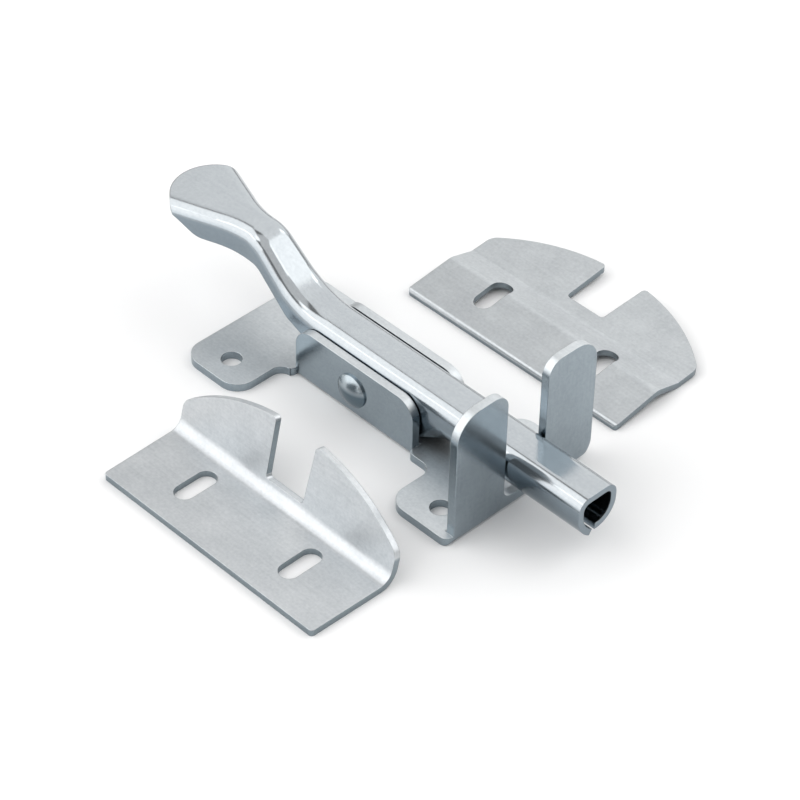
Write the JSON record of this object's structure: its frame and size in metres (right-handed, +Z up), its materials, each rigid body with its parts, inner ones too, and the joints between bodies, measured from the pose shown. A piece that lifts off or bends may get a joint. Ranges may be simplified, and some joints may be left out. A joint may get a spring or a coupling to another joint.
{
  "type": "gate latch",
  "caption": "Pressed steel gate latch: a thumb lever with a rolled bolt rocks in a folded bracket and its fork, with an angled keep and a flat keep, both notched, beside it.",
  "frame": {"origin": "on the underside of the bracket, straight below the axis of the rivet, midway between the ears", "axes": "+X along the lever to the tip of its bolt, +Y across it towards the flat keep, +Z up out of the face the bracket is fixed to"},
  "size_m": [0.1582, 0.1589, 0.0413],
  "materials": {
    "bracket_zinc": "bright zinc plated, faint rolling marks",
    "lever_zinc": "bright zinc plated, smooth",
    "rivet_zinc": "bright zinc plated, smooth",
    "keep_zinc": "bright zinc plated, faint rolling marks"
  },
  "bodies": {
    "bracket": {"base_bracket": "bracket_zinc", "pivot_rivet": "rivet_zinc", "angle_keep": "keep_zinc", "flat_keep": "keep_zinc"},
    "lever": {"latch_lever": "lever_zinc"}
  },
  "joints": [
    {"name": "lever_pivot", "type": "hinge", "parent": "bracket", "child": "lever", "pos_m": [0, 0, 0.0083], "axis": [0, -1, 0], "range_deg": [0, 20]}
  ]
}
